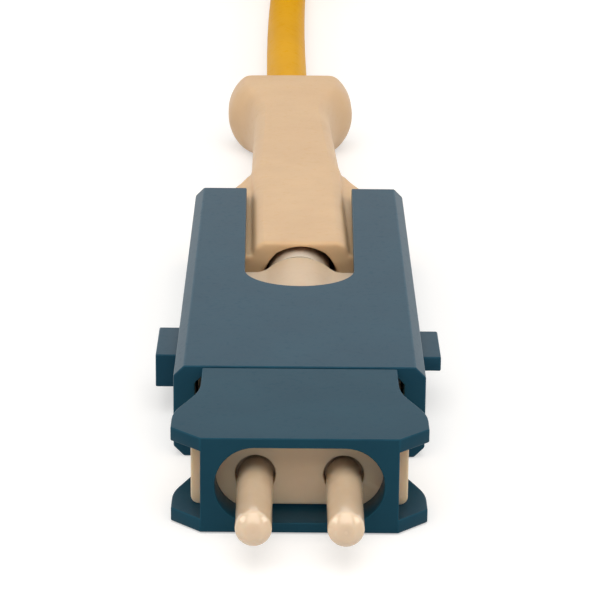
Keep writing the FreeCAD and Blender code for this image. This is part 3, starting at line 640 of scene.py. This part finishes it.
def boot_rings():
    """All the boot's rings: back along the outside, then forward along the bore."""
    rings = tongue_rings() + wrist_rings()
    front, rear = rings[0], rings[-1]
    bore = ((rear, CABLE_BORE + REAR_MOUTH, BOOT_REAR), (rear, CABLE_BORE, BOOT_REAR - BORE_SLOPE),
            (rear, CABLE_BORE, BORE_MIDDLE), (front, CABLE_BORE, BORE_STEP + BORE_SLOPE),
            (front, RING_BORE, BORE_STEP), (front, RING_BORE, BOOT_FRONT + MOUTH_END),
            (front, RING_BORE + FRONT_MOUTH, BOOT_FRONT + MOUTH_START))
    return rings + [bore_ring(outline, radius, y) for outline, radius, y in bore]


def boot_piece(plug):
    """The push-pull boot: a tongue over the crimp, shoulders in the sleeve, a wrist and a grip flange."""
    name = plug.prefix + "grip_boot"
    form = bmesh.new()
    skin(form, boot_rings(), closed=True)
    mesh = mesh_of(name, form, plug.boot_matrix)
    piece = finished(name, mesh, plug.prefix + "sleeve", "cream_plastic", plug.prefix + "boot", CREAM_BOOT)
    smooth = piece.modifiers.new("moulded_curves", "SUBSURF")
    smooth.levels = smooth.render_levels = 2
    return piece


# Ferrules and their springs

FERRULE_X, FERRULE_LINE = 1.55, -0.12
FERRULE_STEPS = 72
FERRULE_PROFILE = (  # radius and Y, from the fibre's edge at the tip to the root
    (0.0625, -3.85), (0.24, -3.849), (0.32, -3.838), (0.38, -3.812), (0.57, -3.638), (0.6, -3.6),
    (0.618, -3.55), (0.625, -3.48), (0.625, -3.33), (0.625, 1.44), (0.6, 1.52), (0.47, 1.58),
    (0.45, 1.62), (0.45, 3.24), (0.4, 3.3))
SPRING_FRONT, SPRING_REAR, SPRING_GAP, WIRE_DIA = 3.53, 10.47, 0.03, 0.26
SPRING_STEPS, WIRE_SIDES = 181, 10
SPRING_SIZES = {"Turns": 5.0, "Coil radius": 0.65 * MM, "Wire radius": WIRE_DIA / 2 * MM,
                "Length": (SPRING_REAR - SPRING_FRONT - WIRE_DIA) * MM, "Closed ends": 0.75}


def ferrule_piece(plug, side, sign):
    """A ceramic ferrule with a rounded polished end, its fibre in the middle and its root turned down."""
    angles = [2 * math.pi * k / FERRULE_STEPS for k in range(FERRULE_STEPS)]
    form = bmesh.new()
    rings = skin(form, [[(radius * math.cos(a), y, radius * math.sin(a)) for a in angles]
                        for radius, y in FERRULE_PROFILE])
    form.faces.new(rings[0]).material_index = 1
    form.faces.new(rings[-1])
    name = plug.prefix + "ferrule_" + side
    middle = Matrix.Translation((sign * FERRULE_X, 0.0, FERRULE_LINE))
    mesh = mesh_of(name + "_ceramic", form, plug.matrix @ middle)
    mesh.set_sharp_from_angle(angle=SHARPEST_SMOOTH)
    return finished(name + "_ceramic", mesh, name + "_unit", "ferrule_white", name, CERAMIC, FIBRE_END)


def wound_spring_tree():
    """A compression spring: a helix along Y whose end turns close up, with a round wire."""
    tree = bpy.data.node_groups.new("wound_spring", "GeometryNodeTree")
    tree.interface.new_socket("Geometry", in_out="OUTPUT", socket_type="NodeSocketGeometry")
    for title in SPRING_SIZES:
        tree.interface.new_socket(title, in_out="INPUT", socket_type="NodeSocketFloat")
    tree.interface.new_socket("Steps", in_out="INPUT", socket_type="NodeSocketInt")
    tree.interface.new_socket("Wire", in_out="INPUT", socket_type="NodeSocketMaterial")
    recipe = Recipe(tree)
    given = recipe.add("NodeGroupInput").outputs
    line = recipe.add("GeometryNodeCurvePrimitiveLine", {"End": (0.0, 1.0, 0.0)}).outputs["Curve"]
    wire = recipe.add("GeometryNodeResampleCurve", {"Curve": line, "Count": given["Steps"]}).outputs["Curve"]
    share = recipe.add("GeometryNodeSplineParameter").outputs["Factor"]
    whole = recipe.math("MULTIPLY", share, 2 * math.pi)
    angle = recipe.math("MULTIPLY", whole, given["Turns"])
    closing = recipe.math("MULTIPLY", recipe.math("SINE", whole), given["Closed ends"])
    along = recipe.math("SUBTRACT", share, recipe.math("DIVIDE", closing, 2 * math.pi))
    place = recipe.add("ShaderNodeCombineXYZ", {
        "X": recipe.math("MULTIPLY", recipe.math("COSINE", angle), given["Coil radius"]),
        "Y": recipe.math("MULTIPLY", along, given["Length"]),
        "Z": recipe.math("MULTIPLY", recipe.math("SINE", angle), given["Coil radius"])}).outputs["Vector"]
    helix = recipe.add("GeometryNodeSetPosition", {"Geometry": wire, "Position": place}).outputs["Geometry"]
    section = recipe.add("GeometryNodeCurvePrimitiveCircle", {
        "Resolution": WIRE_SIDES, "Radius": given["Wire radius"]}).outputs["Curve"]
    wound = recipe.add("GeometryNodeCurveToMesh", {
        "Curve": helix, "Fill Caps": True, "Profile Curve": section}).outputs["Mesh"]
    whole_wire = recipe.add("GeometryNodeRealizeInstances", {"Geometry": wound}).outputs["Geometry"]
    steel = recipe.add("GeometryNodeSetMaterial", {"Geometry": whole_wire, "Material": given["Wire"]})
    recipe.feed(recipe.add("NodeGroupOutput").inputs["Geometry"], steel.outputs["Geometry"])
    return tree


WOUND_SPRING = wound_spring_tree()


def grown(name, tree, values):
    """The plain mesh that a Geometry Nodes tree makes with these inputs."""
    seed = linked(name, bpy.data.meshes.new(name))
    modifier = seed.modifiers.new("rule", "NODES")
    modifier.node_group = tree
    for socket in tree.interface.items_tree:
        if socket.in_out == "INPUT":
            modifier[socket.identifier] = values[socket.name]
    seed.update_tag()
    result = seed.evaluated_get(bpy.context.evaluated_depsgraph_get())
    mesh = bpy.data.meshes.new_from_object(result)
    seed.modifiers.clear()
    bpy.data.objects.remove(seed)
    return mesh


def spring_piece(plug, side, sign):
    """The spring behind a ferrule."""
    name = plug.prefix + "spring_" + side
    mesh = grown(name + "_coil", WOUND_SPRING, dict(SPRING_SIZES, Steps=SPRING_STEPS, Wire=SPRING_STEEL))
    front = Vector((sign * FERRULE_X, SPRING_FRONT + WIRE_DIA / 2, FERRULE_LINE))
    mesh.transform(plug.matrix @ Matrix.Translation(front) @ Matrix.Scale(1 / MM, 4))
    mesh.shade_smooth()
    mesh.name = name + "_coil"
    piece = finished(name + "_coil", mesh, "core", "spring_steel", name)
    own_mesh(piece)
    return piece


# Strap round the hank

STRAP_HALF_WIDE, STRAP_HALF_THICK, STRAP_EDGE = 1.6, 0.21, 0.12
STRAP_SIDE, STRAP_LOW, STRAP_HIGH = 4.64, 0.24, 9.66
STRAP_ROUND, STRAP_SLANT = 1.3, 3.2
LAYER_GAP = 0.03
CORNER_STEPS, CORNER_STEP = 10, 10.0
TOP_RUN, LOW_RUN = (2.4, 2.0, 1.0, 0.0, -0.9), (-1.6, 0.0, 1.6)
# The free end laid over the start: X and the share of a layer that it has risen
FREE_END = ((3.1, 0.25), (2.75, 0.75), (2.4, 1.0), (1.6, 1.0), (0.8, 1.0), (0.0, 1.0), (-0.7, 1.0),
            (-1.3, 1.0))


def strap_path():
    """Points and outward directions once round the waist, then on over the start as a second layer."""
    path = [((x, STRAP_HIGH), (0.0, 1.0)) for x in TOP_RUN]
    for side, high, start, radius in ((-1, True, 90, STRAP_SLANT), (-1, False, 180, STRAP_ROUND),
                                      (1, False, 270, STRAP_ROUND), (1, True, 0, STRAP_ROUND)):
        corner_x = side * (STRAP_SIDE - radius)
        corner_z = STRAP_HIGH - radius if high else STRAP_LOW + radius
        for step in range(CORNER_STEPS):
            angle = math.radians(start + CORNER_STEP * step)
            out = (math.cos(angle), math.sin(angle))
            path.append(((corner_x + radius * out[0], corner_z + radius * out[1]), out))
        if start == 180:
            path += [((x, STRAP_LOW), (0.0, -1.0)) for x in LOW_RUN]
    layer = 2 * STRAP_HALF_THICK + LAYER_GAP
    return path + [((x, STRAP_HIGH + lift * layer), (0.0, 1.0)) for x, lift in FREE_END]


def strap_piece():
    """A flat woven strap with its free end laid over itself."""
    y, t, c = STRAP_HALF_WIDE, STRAP_HALF_THICK, STRAP_EDGE
    section = ((-y, -t + c), (-y + c, -t), (y - c, -t), (y, -t + c),
               (y, t - c), (y - c, t), (-y + c, t), (-y, t - c))
    form = bmesh.new()
    rings = skin(form, [[Vector((x + out_x * deep, HANK_MIDDLE_Y + wide, z + out_z * deep)) * MM
                         for wide, deep in section] for (x, z), (out_x, out_z) in strap_path()])
    form.faces.new(rings[0])
    form.faces.new(rings[-1])
    mesh = mesh_of("hank_strap", form)
    mesh.set_sharp_from_angle(angle=SHARPEST_SMOOTH)
    return finished("hank_strap", mesh, "core", "strap", "cable_tie", STRAP)


# The back body's deck, which shows through the housing's slot

DECK_FRONT, DECK_REAR, DECK_LEVEL, DECK_SLOPE = 17.95, 22.66, 0.95, 3.08
CROWN_RADIUS, CROWN_MIDDLE, CROWN_FOOT = 1.95, -0.65, 0.2
CROWN_STRIPS, STRIP_WIDE = 18, 0.11
# What counts as the deck: its lowest point, how far it may lie under the crown's arc or over its final
# height, and how level its faces are
DECK_LOWEST, UNDER_CROWN, OVER_DECK, LEVEL_FACE = 0.6, 0.06, 0.01, 0.3
# How near a point is to a cut, in strips, and how near points are cut or joined, in millimetres
ON_CUT, CUT_REACH, JOIN_REACH = 0.02, 0.0005, 0.004


def crown_height(x):
    """The round crown along the middle of the deck."""
    return CROWN_MIDDLE + math.sqrt(max(0.0, CROWN_RADIUS ** 2 - x ** 2))


def deck_height(x):
    """The crown's arc, running smoothly into the deck on either side of it."""
    above = crown_height(x) - DECK_LEVEL
    share = min(1.0, max(0.0, 0.5 + 0.5 * above / CROWN_FOOT))
    return DECK_LEVEL + above * share + CROWN_FOOT * share * (1.0 - share)


class Deck:
    """The deck's upper and lower faces in a copy of one plug's back body."""

    def __init__(self, plug, form):
        self.form = form
        self.outward = plug.matrix
        self.inward = plug.matrix.inverted()

    def holds(self, vert):
        """Whether a point lies on the deck."""
        x, y, z = self.inward @ vert.co
        low = max(DECK_LOWEST, crown_height(x) - UNDER_CROWN)
        return DECK_FRONT < y < DECK_REAR and low < abs(z) < deck_height(x) + OVER_DECK

    def on_cut(self, vert):
        """Whether a point lies on the line between two strips, or outside them all."""
        strip = (self.inward @ vert.co).x / STRIP_WIDE
        return abs(strip) > CROWN_STRIPS or abs(strip - round(strip)) < ON_CUT

    def along_cut(self, edge):
        """Whether an edge runs along such a line."""
        first, second = edge.verts
        return abs(first.co.x - second.co.x) < SAME_PLACE * MM and self.on_cut(first)

    def faces(self):
        """The faces that lie wholly on the deck, without its steep ends."""
        return [f for f in self.form.faces
                if abs(f.normal.z) > LEVEL_FACE and all(self.holds(v) for v in f.verts)]

    def cut_strips(self):
        """Cuts the deck lengthwise into even strips."""
        faces = self.faces()
        cut = faces + list({e for f in faces for e in f.edges}) + list({v for f in faces for v in f.verts})
        for strip in range(-CROWN_STRIPS, CROWN_STRIPS + 1):
            middle = self.outward @ Vector((strip * STRIP_WIDE, 0.0, 0.0))
            cut = bmesh.ops.bisect_plane(self.form, geom=cut, dist=CUT_REACH * MM, plane_co=middle,
                                         plane_no=(1.0, 0.0, 0.0))["geom"]

    def clear_old_edges(self):
        """Takes out the edges that cross a strip, and draws the rim's spare points to the nearest cut."""
        faces = set(self.faces())
        spare = [e for e in self.form.edges
                 if len(e.link_faces) == 2 and faces.issuperset(e.link_faces) and not self.along_cut(e)]
        bmesh.ops.dissolve_edges(self.form, edges=spare, use_verts=True)
        moved_to = {}
        for vert in self.form.verts:
            if self.holds(vert) and not self.on_cut(vert):
                others = [e.other_vert(vert) for e in vert.link_edges]
                mates = [m for m in others if self.holds(m) and self.on_cut(m)]
                if mates:
                    moved_to[vert] = min(mates, key=lambda mate: (mate.co - vert.co).length)
        bmesh.ops.weld_verts(self.form, targetmap=moved_to)
        left = [v for v in self.form.verts if self.holds(v)]
        bmesh.ops.remove_doubles(self.form, verts=left, dist=JOIN_REACH * MM)

    def round_crown(self):
        """Lifts the deck beside the crown nearer to the slot, and ends it sooner by as much as it rises."""
        for vert in filter(self.holds, self.form.verts):
            x, y, z = self.inward @ vert.co
            level = deck_height(x)
            rise = level - max(abs(z), crown_height(x))
            rear = DECK_REAR - DECK_SLOPE * rise
            vert.co = self.outward @ Vector((x, min(y, rear), math.copysign(level, z)))


# Plugs

PLUG_LEVEL = 1.78
SLEEVE_EDGE, NOSE_EDGE, BLOCK_EDGE, DECK_EDGE = 0.055, 0.045, 0.05, 0.0


class Plug:
    """One plug's place: the near one points at the camera, the far one away from it."""

    def __init__(self, prefix, x, y, turned, lean):
        self.prefix = prefix
        turn = Matrix.Rotation(math.pi if turned else 0.0, 4, "Z")
        self.matrix = Matrix.Translation(Vector((x, y, PLUG_LEVEL)) * MM) @ turn @ Matrix.Scale(MM, 4)
        swing = Matrix.Rotation(math.radians(lean), 4, "Z")
        self.boot_matrix = (self.matrix @ Matrix.Translation((0.0, LEAN_Y, 0.0)) @ swing
                            @ Matrix.Translation((0.0, -LEAN_Y, 0.0)))

    def raise_deck(self, form):
        """Rounds the crown into the deck."""
        deck = Deck(self, form)
        deck.cut_strips()
        deck.clear_old_edges()
        deck.round_crown()


def dressed_plug(plug):
    """All the pieces of one plug. What stays hidden inside keeps its CAD mesh and gets its finish."""
    prefix = plug.prefix
    pieces = [softened(prefix + "outer_housing", prefix + "latch_sleeve", SLEEVE_EDGE, BLUE_PLASTIC),
              softened(prefix + "front_body", prefix + "nose_frame", NOSE_EDGE, BLUE_NOSE),
              softened(prefix + "ferrule_holder", prefix + "ferrule_block", BLOCK_EDGE, CREAM_HOLDER_PAINTED_LIGHT),
              softened(prefix + "back_body", prefix + "crowned_deck", DECK_EDGE, CREAM_INNER,
                       plug.raise_deck, DECK_SMOOTH),
              boot_piece(plug)]
    finishes = {"crimp_ring": PLATED_METAL}
    for side, sign in (("left", -1), ("right", 1)):
        pieces += [ferrule_piece(plug, side, sign), spring_piece(plug, side, sign)]
        finishes["ferrule_hub_" + side] = HUB_METAL_PAINTED_SHADE
        finishes["fibre_" + side] = FIBRE_COAT
    for node, material in finishes.items():
        cad = frame["nodes"][prefix + node]
        cad.data.materials.clear()
        cad.data.materials.append(material)
        pieces.append(cad)
    return pieces


# Floor and light, in metres and watts

FLOOR_HALF, FLOOR_DROP, FLOOR_GLOW = 1.5, 0.02 * MM, 0.45
SKY_LIGHT, SKY_SEEN = 0.35, 1.0
FAINT_WARM, PALE_WARM, WINDOW_WARM = (1.0, 0.98, 0.95), (1.0, 0.96, 0.9), (1.0, 0.91, 0.8)
SOFTBOXES = (  # name, place, width and height, power, colour
    ("overhead_box", (0.0, -0.08, 0.55), (0.42, 0.42), 0.95, FAINT_WARM),
    ("left_window", (-0.5, -0.14, 0.31), (0.34, 0.3), 1.0, WINDOW_WARM),
    ("right_window", (0.5, -0.14, 0.31), (0.34, 0.3), 1.0, WINDOW_WARM),
    ("high_front_box", (0.0, -0.45, 0.5), (0.8, 0.35), 1.6, PALE_WARM),
    ("low_front_box", (0.0, -0.75, 0.16), (0.9, 0.25), 0.5, PALE_WARM))


def seen_directly(recipe):
    """1 where the camera, a mirror or clear plastic looks at it, 0 where it only lights things."""
    rays = recipe.add("ShaderNodeLightPath").outputs
    seen = recipe.math("MAXIMUM", rays["Is Camera Ray"], rays["Is Glossy Ray"])
    return recipe.math("MAXIMUM", seen, rays["Is Transmission Ray"])


def lay_floor():
    """A white floor just under the part, which keeps its shadow."""
    form = bmesh.new()
    bmesh.ops.create_grid(form, x_segments=2, y_segments=2, size=FLOOR_HALF)
    floor = linked("floor", mesh_of("floor", form, Matrix.Translation((0.0, 0.0, -FLOOR_DROP))))
    material, recipe, inputs = new_material("white_floor", Base_Color=(0.66, 0.66, 0.66, 1), Roughness=0.9,
                                            Specular_IOR_Level=0.0, Emission_Color=(1, 1, 1, 1))
    recipe.feed(inputs["Emission Strength"], recipe.math("MULTIPLY", seen_directly(recipe), FLOOR_GLOW))
    floor.data.materials.append(material)


def softbox(name, place, size, power, colour):
    """A rectangular lamp that faces the near plug."""
    lamp = bpy.data.lights.new(name, "AREA")
    lamp.shape = "RECTANGLE"
    lamp.size, lamp.size_y = size
    lamp.energy = power
    lamp.color = colour
    turned = Vector(place).to_track_quat("Z", "Y").to_matrix().to_4x4()
    linked(name, lamp).matrix_world = Matrix.Translation(Vector(place)) @ turned


def light_studio():
    """A white sky that lights less than it shows, and soft lamps above, in front and on both sides."""
    world = bpy.data.worlds.new("studio")
    scene.world = world
    world.use_nodes = True
    recipe = Recipe(world.node_tree)
    sky = world.node_tree.nodes["Background"]
    sky.inputs["Color"].default_value = (1.0, 1.0, 1.0, 1.0)
    recipe.feed(sky.inputs["Strength"], recipe.between(seen_directly(recipe), SKY_LIGHT, SKY_SEEN))
    for box in SOFTBOXES:
        softbox(*box)


set_up_camera()
cable = cable_curve()
dressed_plug(Plug("", x=0.0, y=-25.025, turned=False, lean=1.0))
far_pieces = dressed_plug(Plug("far_", x=4.4, y=186.9, turned=True, lean=0.0))
strap = strap_piece()
lay_floor()
light_studio()
scene.view_settings.view_transform = "Standard"
